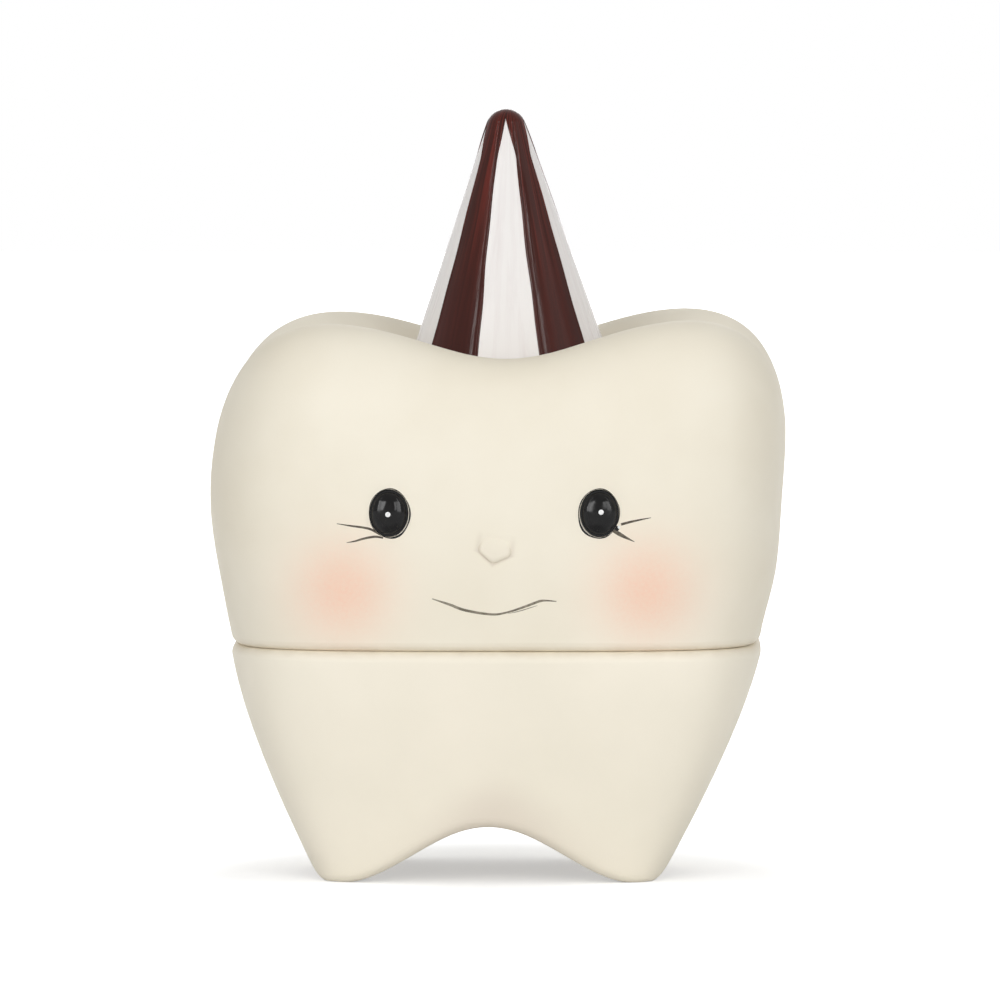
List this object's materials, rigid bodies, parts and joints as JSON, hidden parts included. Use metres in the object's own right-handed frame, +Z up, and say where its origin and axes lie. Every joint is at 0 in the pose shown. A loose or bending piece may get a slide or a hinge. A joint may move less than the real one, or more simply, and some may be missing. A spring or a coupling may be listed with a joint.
{
  "type": "keepsake box",
  "caption": "Tooth-shaped keepsake box for baby teeth: hollow base standing on its roots, lift-off crown lid with a simple face, and a striped cone hat on top.",
  "frame": {"origin": "on the table, under the middle of the tooth, between its roots", "axes": "+Z up, the way the lid lifts; the face looks along -Y; +X is to the right of someone who looks at the face"},
  "size_m": [0.0703, 0.059, 0.0936],
  "materials": {
    "cream_resin": "cast resin with matt cream paint",
    "hat_white": "cast resin with glossy off-white enamel",
    "hat_brown": "thick glossy dark brown enamel",
    "eye_black": "glossy black bead"
  },
  "bodies": {
    "base": {"root_base": "cream_resin"},
    "lid": {"crown_lid": "cream_resin", "party_hat": "hat_white", "hat_stripes": "hat_brown", "left_eye": "eye_black", "right_eye": "eye_black"}
  },
  "joints": [
    {"name": "lid_lift", "type": "slide", "parent": "base", "child": "lid", "axis": [0, 0, 1], "range_m": [0, 0.06]}
  ]
}
